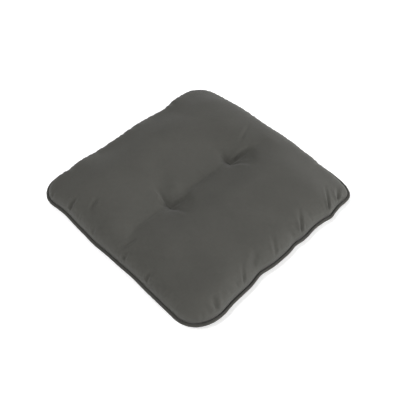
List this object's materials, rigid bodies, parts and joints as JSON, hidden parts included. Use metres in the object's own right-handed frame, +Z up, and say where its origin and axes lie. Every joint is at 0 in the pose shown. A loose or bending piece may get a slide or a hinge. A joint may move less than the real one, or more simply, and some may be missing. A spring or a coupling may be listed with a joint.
{
  "type": "chair seat pad",
  "caption": "Square fabric seat pad with piped edges, foam and fibre filling, and tuft stitches through the middle.",
  "frame": {"origin": "centre of the footprint, on the surface the pad rests on", "axes": "+Z up; the tufts lie in a row along X; the front edge faces -Y and the closing seam is in the back edge, at +Y"},
  "size_m": [0.45, 0.45, 0.054],
  "materials": {
    "cover_fabric": "fine plain weave, matt, dark warm grey",
    "piping_fabric": "the cover's weave cut on the bias, matt, dark warm grey",
    "piping_cord": "twisted cotton cord, off-white",
    "sewing_thread": "polyester sewing thread, dark grey",
    "foam": "open-cell polyurethane foam, pale yellow",
    "wadding": "polyester fibre wadding, white",
    "tuft_twine": "bonded polyester twine, dark grey"
  },
  "bodies": {
    "root": {"top_cover": "cover_fabric", "bottom_cover": "cover_fabric", "piping_sleeve": "piping_fabric", "piping_filler": "piping_cord", "seam_thread": "sewing_thread", "closing_thread": "sewing_thread", "foam_core": "foam", "top_wadding": "wadding", "bottom_wadding": "wadding", "tuft_thread_left": "tuft_twine", "tuft_thread_right": "tuft_twine"}
  },
  "joints": []
}
